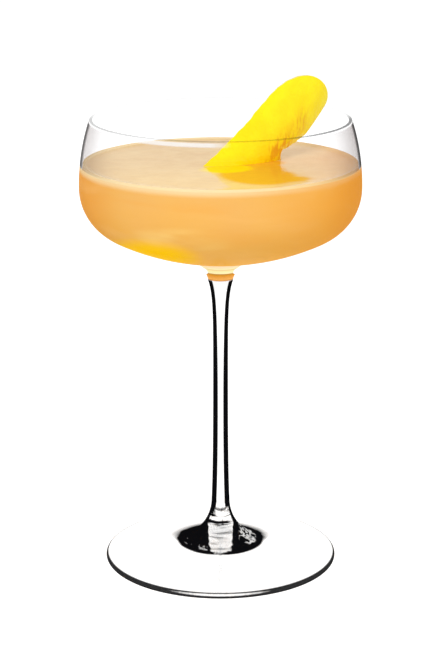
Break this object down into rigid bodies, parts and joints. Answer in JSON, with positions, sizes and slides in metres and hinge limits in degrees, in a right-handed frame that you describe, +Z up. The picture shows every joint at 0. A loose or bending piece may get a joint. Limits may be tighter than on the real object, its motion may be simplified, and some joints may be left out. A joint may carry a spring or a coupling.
{
  "type": "cocktail in a coupe glass",
  "caption": "Hazy peach-coloured cocktail in a tall-stemmed coupe glass, with a strip of lemon peel standing in the drink and leaning over the rim.",
  "frame": {"origin": "middle of the underside of the foot, on the surface that the glass stands on", "axes": "+Z up along the stem; -Y is the front; the peel leans towards +X and +Y"},
  "size_m": [0.0982, 0.0982, 0.1724],
  "materials": {
    "clear_glass": "clear, colourless and polished",
    "hazy_drink": "hazy citrus drink with a wet surface",
    "lemon_zest": "waxy, finely pitted zest over white pith"
  },
  "bodies": {
    "root": {"glass": "clear_glass", "drink": "hazy_drink", "lemon_peel": "lemon_zest"}
  },
  "joints": []
}
